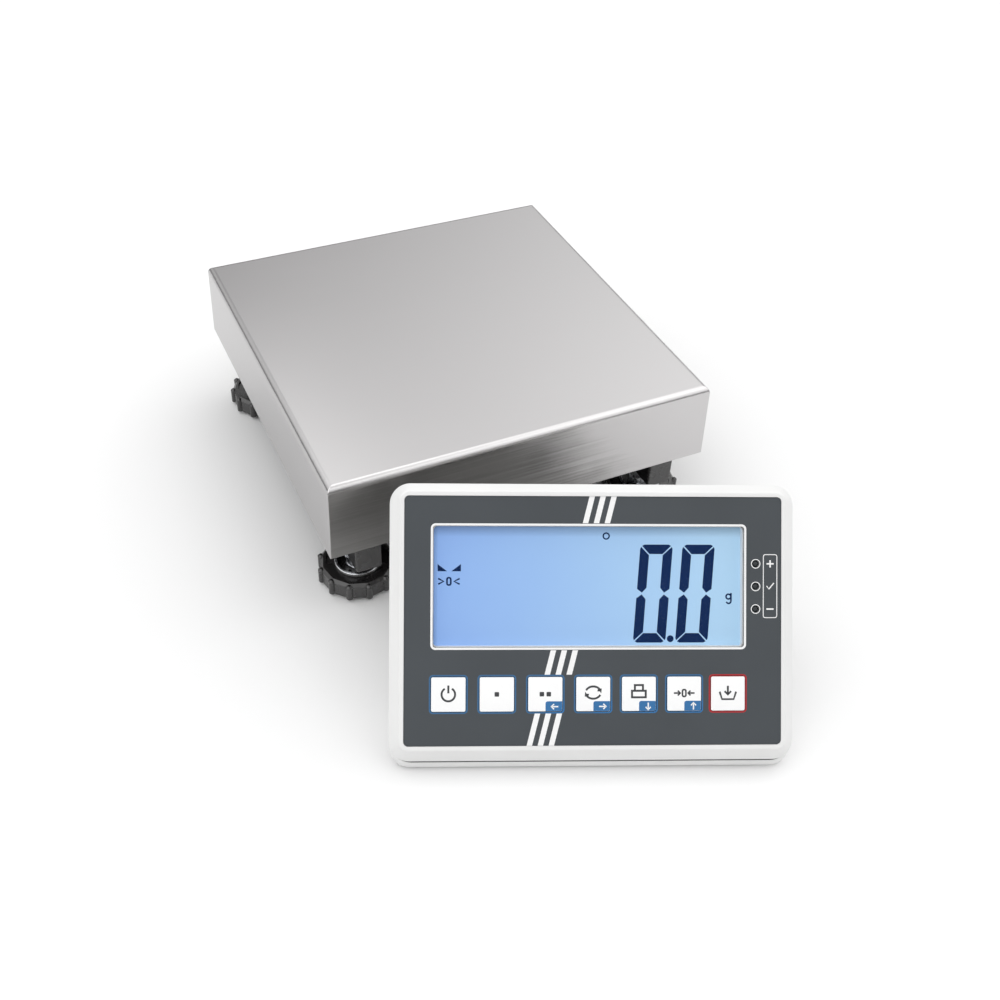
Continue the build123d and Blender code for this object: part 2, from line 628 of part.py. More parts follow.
def rear_stand():
    """U-shaped steel stand: two arms with hinge barrels and a cross bar."""
    width = 2 * STAND_U + STAND_ARM
    half = STAND_SHEET / 2
    sheet = slab(width, STAND_LENGTH, -half, half, y=-STAND_LENGTH / 2)
    sheet = fillet(sheet.edges().filter_by(Axis.Z).group_by(Axis.Y)[0], 6.0)
    opening = width - 2 * STAND_ARM
    sheet -= slab(opening, STAND_LENGTH, -half - 1, half + 1, radius=8, y=-STAND_LENGTH / 2 + 14)
    sheet -= slab(width - 2 * STAND_ARM, 30, -half - 1, half + 1, y=0)
    for side in (-1, 1):
        sheet += Pos(side * STAND_U, 0, 0) * Rot(0, 90, 0) * Cylinder(4.3, STAND_ARM)
        sheet -= Pos(side * STAND_U, 0, 0) * Rot(0, 90, 0) * Cylinder(PIN_RADIUS + 0.06, STAND_ARM + 2)
    return stand_frame().location * sheet


def stand_pins():
    """Steel pins through the hinge ears and the stand's barrels."""
    length = STAND_ARM + 2 * 4.3
    pins = []
    for side in (-1, 1):
        pins.append(Pos(side * STAND_U, STAND_V, STAND_N) * Rot(0, 90, 0) * Cylinder(PIN_RADIUS, length))
    return group(*pins)


def stand_pads():
    """Rubber shoes on the stand's lower edge, cut flat on the bench."""
    pads = []
    for side in (-1, 1):
        shoe = Pos(side * (STAND_U - 12), -STAND_LENGTH - 1, 0) * Box(24, 11, STAND_SHEET + 4)
        shoe = fillet(shoe.edges().filter_by(Axis.X), 1.2)
        pads.append(shoe)
    placed = stand_frame().location * (pads[0] + pads[1])
    return group(placed - bench_cut(0) - rear_stand())


def power_socket():
    """Coaxial power socket with its centre pin."""
    barrel = rod(4.5, BACK_N - 1.0, BACK_N + 9) + rod(5.6, BACK_N - 1.0, BACK_N)
    barrel -= rod(2.8, BACK_N - 2, BACK_N + 8)
    barrel += rod(1.0, BACK_N - 0.4, BACK_N + 8)
    return Pos(POWER_U, SOCKET_V, 0) * barrel


def data_socket():
    """Nine-way data connector: flange, metal shell and two jack screws."""
    flange = slab(31, 12, BACK_N - 1.0, BACK_N, radius=1.5)
    shell = slab(16.4, 8.0, BACK_N - 6.0, BACK_N - 1.0, radius=2.0)
    inside = slab(19.6, 8.6, BACK_N, BACK_N + 8, radius=1.3)
    socket = flange + shell + inside
    for u in (-12.5, 12.5):
        socket += hexagon(4.6, BACK_N - 5.0, BACK_N - 1.0, x=u)
        socket -= rod(1.3, BACK_N - 6.0, BACK_N - 2.0, x=u)
    return Pos(DATA_U, SOCKET_V, 0) * socket


def display_gland():
    """Cable gland in the housing's back: inner nut, hexagon and domed cap, with an open bore."""
    gland = hexagon(14.0, BACK_N + WALL, BACK_N + WALL + 3) + rod(6.0, BACK_N, BACK_N + WALL)
    gland += hexagon(14.0, BACK_N - 4, BACK_N) + rod(6.4, BACK_N - 11, BACK_N - 4)
    gland = chamfer(gland.edges().group_by(Axis.Z)[0], 1.2)
    gland -= rod(GLAND_BORE, BACK_N - 12, BACK_N + 6)
    return Pos(GLAND_U, SOCKET_V, 0) * gland


# ---- assembly ----
def platform_parts():
    parts = {
        "weighing_plate": weighing_plate(),
        "load_carrier": load_carrier(),
        "plate_buffers": plate_buffers(),
        "load_cell": load_cell(),
        "cell_base_spacer": cell_spacer(CROSS_TOP, CELL_BOTTOM, -CROSS_Y, CROSS_DEPTH),
        "cell_top_spacer": cell_spacer(CELL_TOP, CARRIER_BOTTOM, CROSS_Y - 10, 32),
        "cell_base_bolts": cell_base_bolts(),
        "cell_top_bolts": cell_top_bolts(),
        "side_rails": side_rails(),
        "rail_caps": rail_caps(),
        "cross_members": cross_members(),
        "foot_bushes": foot_bushes(),
        "foot_lock_nuts": foot_lock_nuts(),
        "overload_stops": overload_stops(),
        "cell_cable": cell_cable(),
        "frame_gland": frame_gland(),
        "level_housing": level_housing(),
        "level_vial": level_vial(),
    }
    for (x, y), (corner, phase) in zip(foot_points(), WHEEL_PHASES.items()):
        parts[f"{corner}_wheel"] = Pos(x, y, 0) * foot_wheel(phase)
        parts[f"{corner}_stud"] = Pos(x, y, 0) * foot_stud(phase)
        parts[f"{corner}_pad"] = Pos(x, y, 0) * foot_pad()
    place = Pos(*PLATFORM_CENTRE, 0)
    return {name: place * shape for name, shape in parts.items()}


def display_plane():
    """Where the display's own frame stands in the whole object."""
    yaw = radians(DISPLAY_YAW)
    rise = radians(FACE_RISE)
    across = Vector(cos(yaw), -sin(yaw), 0)
    outward = Vector(-sin(yaw) * cos(rise), -cos(yaw) * cos(rise), sin(rise))
    x = PLATFORM_CENTRE[0] + DISPLAY_CENTRE[0]
    y = PLATFORM_CENTRE[1] + DISPLAY_CENTRE[1]
    return Plane(origin=(x, y, FOIL_EDGE_HEIGHT), x_dir=across, z_dir=outward)


def display_parts():
    parts = {
        "front_shell": front_shell(),
        "rear_cover": rear_cover(),
        "housing_gasket": housing_gasket(),
        "display_foil": display_foil(),
        "lcd_window": lcd_block(-2.0, -FOIL_THICK, LENS_MARGIN, radius=1.9),
        "lcd_bezel": lcd_bezel(),
        "lcd_glass": lcd_block(-8.6, LCD_FACE_N, 3.0),
        "lcd_backlight": lcd_block(BOARD_FRONT_N, -8.6, 3.0),
        "status_lamps": status_lamps(),
        "key_switches": key_switches(),
        "main_board": main_board(),
        "board_parts": board_parts(),
        "battery_pack": battery_pack(),
        "battery_door": battery_door(),
        "housing_screws": housing_screws(),
        "wall_inserts": wall_inserts(),
        "display_feet": display_feet(),
        "rear_stand": rear_stand(),
        "stand_pins": stand_pins(),
        "stand_pads": stand_pads(),
        "power_socket": power_socket(),
        "data_socket": data_socket(),
        "display_gland": display_gland(),
    }
    for name, u in KEY_U.items():
        parts[name] = key(u)
    place = display_plane().location
    return {name: place * shape for name, shape in parts.items()}


os.makedirs("parts", exist_ok=True)
for node, shape in {**platform_parts(), **display_parts()}.items():
    export_step(shape, f"parts/{node}.step")
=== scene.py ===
"""Looks of the bench scale: a square weighing platform, and a display unit that leans back on its stand."""

import json
import math
from functools import partial

import bmesh
import bpy
from mathutils import Matrix, Vector


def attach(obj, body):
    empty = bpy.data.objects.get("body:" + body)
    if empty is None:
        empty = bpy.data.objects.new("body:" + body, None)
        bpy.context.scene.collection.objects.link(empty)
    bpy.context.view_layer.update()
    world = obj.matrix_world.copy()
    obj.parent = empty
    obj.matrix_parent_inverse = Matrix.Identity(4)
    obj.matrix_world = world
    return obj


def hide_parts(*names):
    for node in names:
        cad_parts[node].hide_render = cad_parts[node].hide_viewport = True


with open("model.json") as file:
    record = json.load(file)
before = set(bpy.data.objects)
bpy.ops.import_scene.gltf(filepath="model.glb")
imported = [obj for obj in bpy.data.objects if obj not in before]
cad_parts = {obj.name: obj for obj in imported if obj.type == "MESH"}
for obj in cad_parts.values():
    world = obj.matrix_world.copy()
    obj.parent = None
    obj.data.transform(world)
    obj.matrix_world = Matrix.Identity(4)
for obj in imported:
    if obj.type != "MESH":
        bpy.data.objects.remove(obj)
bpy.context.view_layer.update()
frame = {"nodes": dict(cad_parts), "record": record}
nodes = frame["nodes"]
scene = bpy.context.scene

MM = 0.001

# ---- where the two units stand, in millimetres and degrees, as in the CAD ----
PLATFORM = (3.593, 91.455)
DISPLAY_ORIGIN = (-28.907, -169.545, 17.0)
DISPLAY_YAW = 23.0
FACE_RISE = 43.0

# ---- platform ----
PLATE_TOP = 92.0
FEET = {
    "front_left": (-93.0, -90.5),
    "front_right": (93.0, -90.5),
    "rear_left": (-93.0, 86.5),
    "rear_right": (93.0, 86.5),
}

# ---- display face: U across, V up the face, N out of it; origin at the foil's lower edge ----
FOIL_HEIGHT = 122.3
WINDOW = (-2.3, 77.9, 153.8, 59.6)    # its middle, width and height
WINDOW_RIM = 1.1
LCD_N = -6.4
PRINT = 0.04                          # thickness of all print
LAMP_U = 80.45
LAMP_V = (66.9, 78.1, 89.3)

# ---- keys: each square is given by half its side, and by its corner radius ----
KEY_V = 25.25
KEY_TOP = 0.3
KEY_HALF = 8.5
KEY_CORNER = 0.9
KEY_EDGE = 0.18
OPENING_HALF = 8.8
OPENING_CORNER = 1.4
FRAME_HALF = 9.5
FRAME_CORNER = 1.9
KEY_U = {
    "key_power": -71.4,
    "key_f1": -47.7,
    "key_f2": -23.9,
    "key_cycle": -0.3,
    "key_print": 22.3,
    "key_zero": 44.8,
    "key_tare": 66.6,
}


# ---------------------------------------------------------------- frames of reference
def display_matrix():
    """The display's own frame in the whole object, in metres."""
    yaw = math.radians(DISPLAY_YAW)
    rise = math.radians(FACE_RISE)
    across = Vector((math.cos(yaw), -math.sin(yaw), 0))
    outward = Vector((-math.sin(yaw) * math.cos(rise), -math.cos(yaw) * math.cos(rise), math.sin(rise)))
    upward = outward.cross(across)
    turn = Matrix((across, upward, outward)).transposed().to_4x4()
    return Matrix.Translation(Vector(DISPLAY_ORIGIN) * MM) @ turn


DISPLAY = display_matrix()


def platform_matrix(x=0.0, y=0.0):
    """A place on the bench in the whole object, from the platform's centre, in millimetres."""
    return Matrix.Translation(Vector((PLATFORM[0] + x, PLATFORM[1] + y, 0)) * MM)


# ---------------------------------------------------------------- materials
NOISE_RANGE = (0.3, 0.7)              # most of what a noise node gives lies between these


class Tree:
    """A node tree, with short ways to add, set and join its nodes."""

    def __init__(self, tree):
        self.nodes = tree.nodes
        self.links = tree.links

    def node(self, kind, **settings):
        """A new node. Each setting is one of its properties, or else the value of one of its inputs."""
        made = self.nodes.new(kind)
        for key, value in settings.items():
            if hasattr(made, key):
                setattr(made, key, value)
            else:
                made.inputs[key.replace("_", " ")].default_value = value
        return made

    def join(self, output, target):
        self.links.new(output, target)

    def feed(self, socket, value):
        """Sets a socket to a number, or joins it to what another node gives."""
        if isinstance(value, (int, float)):
            socket.default_value = value
        else:
            self.join(value, socket)

    def math(self, operation, first, second=0.0):
        made = self.node("ShaderNodeMath", operation=operation)
        self.feed(made.inputs[0], first)
        self.feed(made.inputs[1], second)
        return made.outputs["Value"]

    def blend(self, factor, first, second):
        """A number between two numbers."""
        made = self.node("ShaderNodeMix", data_type="FLOAT")
        self.join(factor, made.inputs["Factor"])
        self.feed(made.inputs["A"], first)
        self.feed(made.inputs["B"], second)
        return made.outputs["Result"]

    def span(self, value, low, high, start=0.0, end=1.0, curve="LINEAR"):
        """A value from one range, start to end, set to another, low to high."""
        span = self.node("ShaderNodeMapRange", interpolation_type=curve)
        span.inputs["From Min"].default_value = start
        span.inputs["From Max"].default_value = end
        span.inputs["To Min"].default_value = low
        span.inputs["To Max"].default_value = high
        self.join(value, span.inputs["Value"])
        return span.outputs["Result"]

    def split(self, vector):
        """The three components of a vector, by the names X, Y and Z."""
        made = self.node("ShaderNodeSeparateXYZ")
        self.join(vector, made.inputs["Vector"])
        return made.outputs


class Look(Tree):
    """A procedural material: a Principled shader, with fine detail in colour, roughness and bump."""

    def __init__(self, name, colour, roughness=0.5, metallic=0.0, **inputs):
        self.material = bpy.data.materials.new(name)
        self.material.use_nodes = True
        super().__init__(self.material.node_tree)
        self.shader = self.nodes["Principled BSDF"]
        self.set("Base Color", (*colour, 1.0))
        self.set("Roughness", roughness)
        self.set("Metallic", metallic)
        for key, value in inputs.items():
            self.set(key.replace("_", " "), value)
        self.relief = None

    def set(self, socket, value):
        self.shader.inputs[socket].default_value = value

    def drive(self, socket, output):
        self.join(output, self.shader.inputs[socket])

    def place(self, stretch=(1, 1, 1)):
        """Object coordinates in millimetres, stretched by a scale."""
        coordinates = self.node("ShaderNodeTexCoord")
        mapping = self.node("ShaderNodeMapping")
        mapping.inputs["Scale"].default_value = [scale / MM for scale in stretch]
        self.join(coordinates.outputs["Object"], mapping.inputs["Vector"])
        return mapping.outputs["Vector"]

    def noise(self, scale, detail=3.0, stretch=(1, 1, 1)):
        """Noise with features of about 1/scale millimetres."""
        texture = self.node("ShaderNodeTexNoise", Scale=scale, Detail=detail)
        self.join(self.place(stretch), texture.inputs["Vector"])
        return texture.outputs["Fac"]

    def mix(self, factor, first, second):
        """A colour between two colours. Each is a tuple, or what another node gives."""
        made = self.node("ShaderNodeMix", data_type="RGBA")
        self.join(factor, made.inputs["Factor"])
        for key, value in (("A", first), ("B", second)):
            if isinstance(value, tuple):
                made.inputs[key].default_value = (*value, 1.0)
            else:
                self.join(value, made.inputs[key])
        return made.outputs["Result"]

    def colours(self, factor, first, second):
        """A ramp from one colour to another."""
        ramp = self.node("ShaderNodeValToRGB")
        ramp.color_ramp.elements[0].color = (*first, 1.0)
        ramp.color_ramp.elements[1].color = (*second, 1.0)
        self.join(factor, ramp.inputs["Fac"])
        return ramp.outputs["Color"]

    def rough(self, scale, low, high, stretch=(1, 1, 1)):
        """Uneven gloss between two roughnesses."""
        self.drive("Roughness", self.span(self.noise(scale, 4.0, stretch), low, high, *NOISE_RANGE))
        return self

    def tint(self, scale, first, second):
        """Uneven colour between two colours."""
        factor = self.span(self.noise(scale), 0.0, 1.0, *NOISE_RANGE)
        self.drive("Base Color", self.colours(factor, first, second))
        return self

    def bump(self, scale, height, stretch=(1, 1, 1)):
        """Relief of a height in millimetres, added to the relief that is there."""
        made = self.node("ShaderNodeBump", Strength=1.0)
        made.inputs["Distance"].default_value = height * MM
        self.join(self.noise(scale, stretch=stretch), made.inputs["Height"])
        if self.relief is not None:
            self.join(self.relief, made.inputs["Normal"])
        self.relief = made.outputs["Normal"]
        self.drive("Normal", self.relief)
        return self


def shade(colour, factor):
    return tuple(channel * factor for channel in colour)


def plastic(name, colour, roughness, grain=2.2, relief=0.006, variation=0.06, **inputs):
    """Moulded or painted surface: a fine grain, a little uneven gloss and a little uneven colour."""
    look = Look(name, colour, roughness, **inputs)
    look.tint(0.03, shade(colour, 1 - variation), shade(colour, 1 + variation / 2))
    look.rough(0.12, roughness - 0.06, roughness + 0.06)
    return look.bump(grain, relief)


def metal(name, colour, roughness, stretch=(1, 1, 1)):
    """Turned or drawn metal, uneven in gloss. A stretch gives it a grain."""
    look = Look(name, colour, roughness, 1.0)
    look.tint(0.08, shade(colour, 0.88), shade(colour, 1.06))
    look.rough(0.4, roughness - 0.09, roughness + 0.09, stretch)
    return look.bump(1.5, 0.003, stretch)


def painted_reflection_stretch(look, facing, streaks):
    """How much painted dark reflection the front skirt gets, 0 to 1: full on the left, up to a soft, streaky
    edge that slants. It stands in for the shade that the skirt reflects.
    """
    slope, softness = 0.9, (-25.0, 45.0)
    place = look.split(look.place())
    below_top = look.math("SUBTRACT", PLATE_TOP, place["Z"])
    from_edge = look.math("SUBTRACT", place["X"], look.math("MULTIPLY", below_top, slope))
    for noise, reach in ((look.noise(0.05, 4.0), 30.0), (streaks, 40.0)):
        uneven = look.math("MULTIPLY", look.math("SUBTRACT", noise, 0.5), reach)
        from_edge = look.math("ADD", from_edge, uneven)
    clear = look.span(from_edge, 0.0, 1.0, *softness, curve="SMOOTHSTEP")
    front = look.span(facing["Y"], 1.0, 0.0, -0.97, -0.75)
    return look.math("MULTIPLY", front, look.math("SUBTRACT", 1.0, clear))


def brushed_plate():
    """Fine brushed stainless sheet. The grain runs along X on the top and the front skirt, and upright on the
    side skirts, which get a darker copy of the steel colour as painted shade. The front skirt has a stretch
    of painted dark reflection."""
    steel = (0.604, 0.592, 0.594)
    along, across = 0.010, 5.0
    look = Look("stainless_sheet", steel, 0.3, 1.0)
    facing = look.split(look.node("ShaderNodeNewGeometry").outputs["Normal"])
    side = look.span(look.math("ABSOLUTE", facing["X"]), 0.0, 1.0, 0.65, 0.75)
    lengthways = look.noise(1.0, 4.0, (along, across, across))
    upright = look.noise(1.0, 4.0, (across, across, along))
    grain = look.blend(side, lengthways, upright)
    cloud = look.span(look.noise(0.02), 0.245, 0.255, *NOISE_RANGE)
    look.drive("Roughness", look.math("ADD", look.span(grain, -0.010, 0.010, *NOISE_RANGE), cloud))
    bump = look.node("ShaderNodeBump", Strength=0.3)
    bump.inputs["Distance"].default_value = 0.002 * MM
    look.join(grain, bump.inputs["Height"])
    look.drive("Normal", bump.outputs["Normal"])
    strength = look.span(grain, 0.0, 1.0, *NOISE_RANGE)
    bright = look.colours(strength, shade(steel, 0.985), shade(steel, 1.015))
    # painted shade: faces turned to the sides get a darker copy of the steel colour than the top and the
    # front skirt
    shaded_side_steel = look.colours(strength, shade(steel, 0.77), shade(steel, 0.83))
    streaks = look.noise(1.0, 4.0, (0.012, 0.80, 0.80))
    streak_strength = look.span(streaks, 0.0, 1.0, *NOISE_RANGE)
    # painted dark reflection: a darker steel colour for the left of the front skirt, in place of the shade it
    # reflects
    painted_dark_reflection = look.colours(streak_strength, (0.235, 0.230, 0.225), (0.280, 0.275, 0.268))
    plain_steel = look.mix(side, bright, shaded_side_steel)
    look.drive("Base Color", look.mix(painted_reflection_stretch(look, facing, streaks), plain_steel, painted_dark_reflection))
    return look


def along_face(look, axis):
    """Millimetres along the display's face, across it (axis 0) or up it (axis 1)."""
    direction = DISPLAY.col[axis].to_3d()
    dot = look.node("ShaderNodeVectorMath", operation="DOT_PRODUCT")
    look.join(look.place(), dot.inputs[0])
    dot.inputs[1].default_value = direction
    return look.math("SUBTRACT", dot.outputs["Value"], direction.dot(Vector(DISPLAY_ORIGIN)))


def lcd_glow():
    """Lit display: an even blue that gets lighter to the right, and gives off part of its light. Along the
    window's left and upper edges it carries a painted shadow, darker towards the edges, where the glass lies
    deep under the frame."""
    left_blue, right_blue = (0.280, 0.485, 0.940), (0.480, 0.740, 0.980)
    printed_share, emission = 0.46, 0.50
    left_edge, right_edge = WINDOW[0] - WINDOW[2] / 2, WINDOW[0] + WINDOW[2] / 2
    top_edge = WINDOW[1] + WINDOW[3] / 2
    look = Look("lcd_glow", (0.4, 0.6, 0.9), 0.35)
    u, v = along_face(look, 0), along_face(look, 1)
    across = look.span(u, 0.0, 1.0, left_edge, right_edge)
    wave = look.math("MULTIPLY", look.math("SUBTRACT", look.noise(0.02, 2.0), 0.5), 0.2)
    factor = look.math("ADD", across, wave)
    # painted shadow of the window frame on the deep glass, along its left and upper edges; the factor is 1
    # where there is none
    from_left = look.span(u, 0.62, 1.0, left_edge, left_edge + 2.5)
    from_top = look.span(v, 1.0, 0.50, top_edge - 5.5, top_edge)
    painted_shadow_factor = look.math("MULTIPLY", from_left, from_top)
    for socket, share in (("Base Color", printed_share), ("Emission Color", 1.0)):
        lit = look.colours(factor, shade(left_blue, share), shade(right_blue, share))
        look.drive(socket, look.mix(painted_shadow_factor, (0.0, 0.0, 0.0), lit))
    look.set("Emission Strength", emission)
    return look.bump(1.0, 0.001)


def coated(name, colour, roughness, grain, relief, variation, gloss):
    """A plastic look with its own strength of reflection."""
    return plastic(name, colour, roughness, grain, relief, variation, Specular_IOR_Level=gloss)


def ink(name, colour, roughness=0.42):
    return plastic(name, colour, roughness, 5.0, 0.002, 0.05)


LOOKS = {
    "stainless": brushed_plate(),
    "frame_paint": coated("frame_paint", (0.007, 0.007, 0.008), 0.40, 0.9, 0.02, 0.3, 0.25),
    "stand_paint": plastic("stand_paint", (0.55, 0.55, 0.55), 0.45, 0.9, 0.02),
    "black_plastic": coated("black_plastic", (0.016, 0.015, 0.015), 0.27, 1.6, 0.010, 0.3, 1.0),
    "housing_white": plastic("housing_white", (0.80, 0.80, 0.795), 0.36, 2.4, 0.005, 0.02),
    "foil_grey": coated("foil_grey", (0.062, 0.070, 0.078), 0.46, 5.0, 0.004, 0.05, 0.3),
    "key_white": plastic("key_white", (0.93, 0.93, 0.93), 0.4, 3.0, 0.004, 0.015),
    "seal_rubber": plastic("seal_rubber", (0.10, 0.10, 0.10), 0.8, 1.2, 0.02, 0.15),
    "rubber": plastic("rubber", (0.022, 0.022, 0.022), 0.78, 1.2, 0.03, 0.25),
    "zinc_steel": metal("zinc_steel", (0.66, 0.67, 0.69), 0.28),
    "cell_aluminium": metal("cell_aluminium", (0.78, 0.78, 0.79), 0.34, (0.05, 1, 1)),
    "nickel_brass": metal("nickel_brass", (0.72, 0.70, 0.65), 0.2),
    "brass": metal("brass", (0.76, 0.56, 0.24), 0.28),
    "clear_window": Look("clear_window", (0.0, 0.0, 0.0), 0.06, Alpha=0.03).bump(0.02, 0.02),
    "lcd": lcd_glow(),
    "light_guide": plastic("light_guide", (0.82, 0.85, 0.9), 0.3),
    "lens_white": plastic("lens_white", (0.03, 0.035, 0.04), 0.22),
    "white_frame": plastic("white_frame", (0.82, 0.84, 0.86), 0.5),
    "board_green": plastic("board_green", (0.015, 0.12, 0.045), 0.3, 0.8, 0.02, 0.3),
    "component_black": plastic("component_black", (0.02, 0.02, 0.02), 0.45),
    "battery_wrap": plastic("battery_wrap", (0.03, 0.10, 0.32), 0.25, 0.4, 0.05),
    "cable_grey": plastic("cable_grey", (0.06, 0.06, 0.065), 0.5),
    "vial_green": Look("vial_green", (0.55, 0.85, 0.25), 0.05, Alpha=0.6).bump(0.3, 0.01),
    "socket_black": plastic("socket_black", (0.02, 0.02, 0.02), 0.4),
    "print_white": plastic("print_white", (0.88, 0.88, 0.88), 0.45, 5.0, 0.002, 0.03),
    "print_blue": ink("print_blue", (0.025, 0.150, 0.365)),
    "frame_blue": ink("frame_blue", (0.036, 0.130, 0.275)),
    "print_red": ink("print_red", (0.400, 0.018, 0.024)),
    "print_ink": ink("print_ink", (0.040, 0.042, 0.046), 0.5),
    "segment_ink": coated("segment_ink", (0.011, 0.030, 0.105), 0.5, 3.0, 0.001, 0.12, 0.0),
}


def dress(obj, look):
    obj.data.materials.clear()
    obj.data.materials.append(LOOKS[look].material)


# ---------------------------------------------------------------- mesh helpers. Sizes in millimetres
SMOOTH_ANGLE = 35.0


def arc(x, y, radius, start, end, steps):
    """Points of an arc with both its ends, between two angles in degrees."""
    turns = [math.radians(start + (end - start) * step / steps) for step in range(steps + 1)]
    return [(x + radius * math.cos(angle), y + radius * math.sin(angle)) for angle in turns]


def circle(x, y, radius, count=24):
    """Points of a whole circle, each once."""
    return arc(x, y, radius, 0, 360 - 360 / count, count - 1)


def rounded_rect(u, half_width, low, high, radius, steps=6):
    """Points of a rounded rectangle about an upright line at U, counter-clockwise."""
    left, right = u + radius - half_width, u + half_width - radius
    bottom, top = low + radius, high - radius
    points = []
    for x, y, start in ((right, top, 0), (left, top, 90), (left, bottom, 180), (right, bottom, 270)):
        points += arc(x, y, radius, start, start + 90, steps)
    return points


def loft(bm, sections, capped=True):
    """A skin through closed sections of the same number of points. Each section is (points, height)."""
    rings = [[bm.verts.new((x * MM, y * MM, z * MM)) for x, y in points] for points, z in sections]
    for first, second in zip(rings, rings[1:]):
        for index in range(len(first)):
            after = (index + 1) % len(first)
            bm.faces.new((first[index], first[after], second[after], second[index]))
    if capped:
        bm.faces.new(reversed(rings[0]))
        bm.faces.new(rings[-1])


def prism(bm, points, low, high):
    loft(bm, [(points, low), (points, high)])


def band(bm, outer, inner, low, high):
    """A flat closed band between an outer and an inner outline of the same number of points."""
    loft(bm, [(outer, low), (outer, high), (inner, high), (inner, low), (outer, low)], capped=False)
    bmesh.ops.remove_doubles(bm, verts=bm.verts, dist=1e-9)


def strip(bm, path, width, low, high):
    """A flat line of a width along an open path."""
    left, right = [], []
    for index, point in enumerate(path):
        before = Vector(path[max(index - 1, 0)])
        after = Vector(path[min(index + 1, len(path) - 1)])
        along = (after - before).normalized()
        side = Vector((-along.y, along.x)) * width / 2
        left.append(tuple(Vector(point) + side))
        right.append(tuple(Vector(point) - side))
    prism(bm, right + left[::-1], low, high)


def arrow(bm, x, y, turn, size, width, low, high):
    """An open-headed arrow. Its tip points to the right before it is turned."""
    angle = math.radians(turn)

    def put(along, across):
        return (
            x + along * math.cos(angle) - across * math.sin(angle),
            y + along * math.sin(angle) + across * math.cos(angle),
        )

    strip(bm, [put(-size, 0), put(size * 0.92, 0)], width, low, high)
    strip(bm, [put(size * 0.2, size * 0.72), put(size, 0), put(size * 0.2, -size * 0.72)], width, low, high)


def finish_mesh(name, bm, look, body, place, replaces=()):
    """Makes a piece from a mesh that is ready, with smooth shading up to an angle."""
    bmesh.ops.recalc_face_normals(bm, faces=bm.faces)
    for face in bm.faces:
        face.smooth = True
    for edge in bm.edges:
        if len(edge.link_faces) == 2:
            edge.smooth = edge.calc_face_angle(0) < math.radians(SMOOTH_ANGLE)
    mesh = bpy.data.meshes.new(name)
    bm.to_mesh(mesh)
    bm.free()
    obj = bpy.data.objects.new(name, mesh)
    scene.collection.objects.link(obj)
    obj.matrix_world = place
    dress(obj, look)
    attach(obj, body)
    if replaces:
        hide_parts(*replaces)
    return obj


def printed(name, shapes, look, body="display", low=0.0):
    """Print on a face: every shape is a function that adds itself to a mesh between two heights."""
    bm = bmesh.new()
    for shape in shapes:
        shape(bm, low, low + PRINT)
    return finish_mesh(name, bm, look, body, DISPLAY)


# ---------------------------------------------------------------- CAD nodes keep their shape and get a finish
for subpart in frame["record"]["subparts"]:
    dress(nodes[subpart["node"]], subpart["material_slot"])


# ---------------------------------------------------------------- print on the front foil
def window_frame(bm, low, high):
    """A printed frame round the window."""
    u, v, width, height = WINDOW
    outlines = []
    for margin, radius in ((WINDOW_RIM, 2.4), (0.05, 1.45)):
        half = height / 2 + margin
        outlines.append(rounded_rect(u, width / 2 + margin, v - half, v + half, radius))
    band(bm, *outlines, low, high)


def lamp_ring(bm, low, high, v):
    """A printed ring round a lamp."""
    band(bm, circle(LAMP_U, v, 2.35, 48), circle(LAMP_U, v, 1.95, 48), low, high)


SIGN_U = 87.7
SIGN_REACH = 1.8


def lamp_box(bm, low, high):
    """A thin box round the lamps' three signs."""
    outer = rounded_rect(SIGN_U, 3.6, 62.45, 94.05, 1.2)
    inner = rounded_rect(SIGN_U, 3.2, 62.85, 93.65, 0.8)
    band(bm, outer, inner, low, high)


def lamp_signs(bm, low, high):
    """Minus, tick and plus beside the three lamps."""
    minus_v, tick_v, plus_v = LAMP_V
    for v in (minus_v, plus_v):
        strip(bm, [(SIGN_U - SIGN_REACH, v), (SIGN_U + SIGN_REACH, v)], 0.75, low, high)
    strip(bm, [(SIGN_U, plus_v - SIGN_REACH), (SIGN_U, plus_v + SIGN_REACH)], 0.75, low, high - 0.01)
    tick = [(SIGN_U - 1.7, tick_v + 0.2), (SIGN_U - 0.6, tick_v - 1.3), (SIGN_U + 1.9, tick_v + 1.7)]
    strip(bm, tick, 0.6, low, high)


BAR_FIRST = -33.0                     # where the first bar's left edge meets V = 0
BAR_PITCH = 5.4
BAR_WIDTH = 2.7
BAR_LEAN = 0.25
BAR_GAP = 0.3


def slanted_bar(bm, low, high, u, low_v, high_v):
    """One slanted bar between two heights on the foil. U is where its left edge meets V = 0."""
    points = []
    for v, offset in ((low_v, 0), (low_v, BAR_WIDTH), (high_v, BAR_WIDTH), (high_v, 0)):
        points.append((u + offset + BAR_LEAN * v, v))
    prism(bm, points, low, high)


def slanted_bars():
    """Three slanted bars, left open round the window and behind the row of keys."""
    window_v, window_height = WINDOW[1], WINDOW[3]
    clear = window_height / 2 + WINDOW_RIM + BAR_GAP
    spans = (
        (0.0, KEY_V - FRAME_HALF),
        (KEY_V + FRAME_HALF, window_v - clear),
        (window_v + clear, FOIL_HEIGHT),
    )
    bars = []
    for low_v, high_v in spans:
        for index in range(3):
            u = BAR_FIRST + BAR_PITCH * index
            bars.append(partial(slanted_bar, u=u, low_v=low_v, high_v=high_v))
    return bars


lamp_rings = [partial(lamp_ring, v=v) for v in LAMP_V]
foil_shapes = [window_frame, lamp_box, lamp_signs, *lamp_rings, *slanted_bars()]
printed("foil_print", foil_shapes, "print_white")


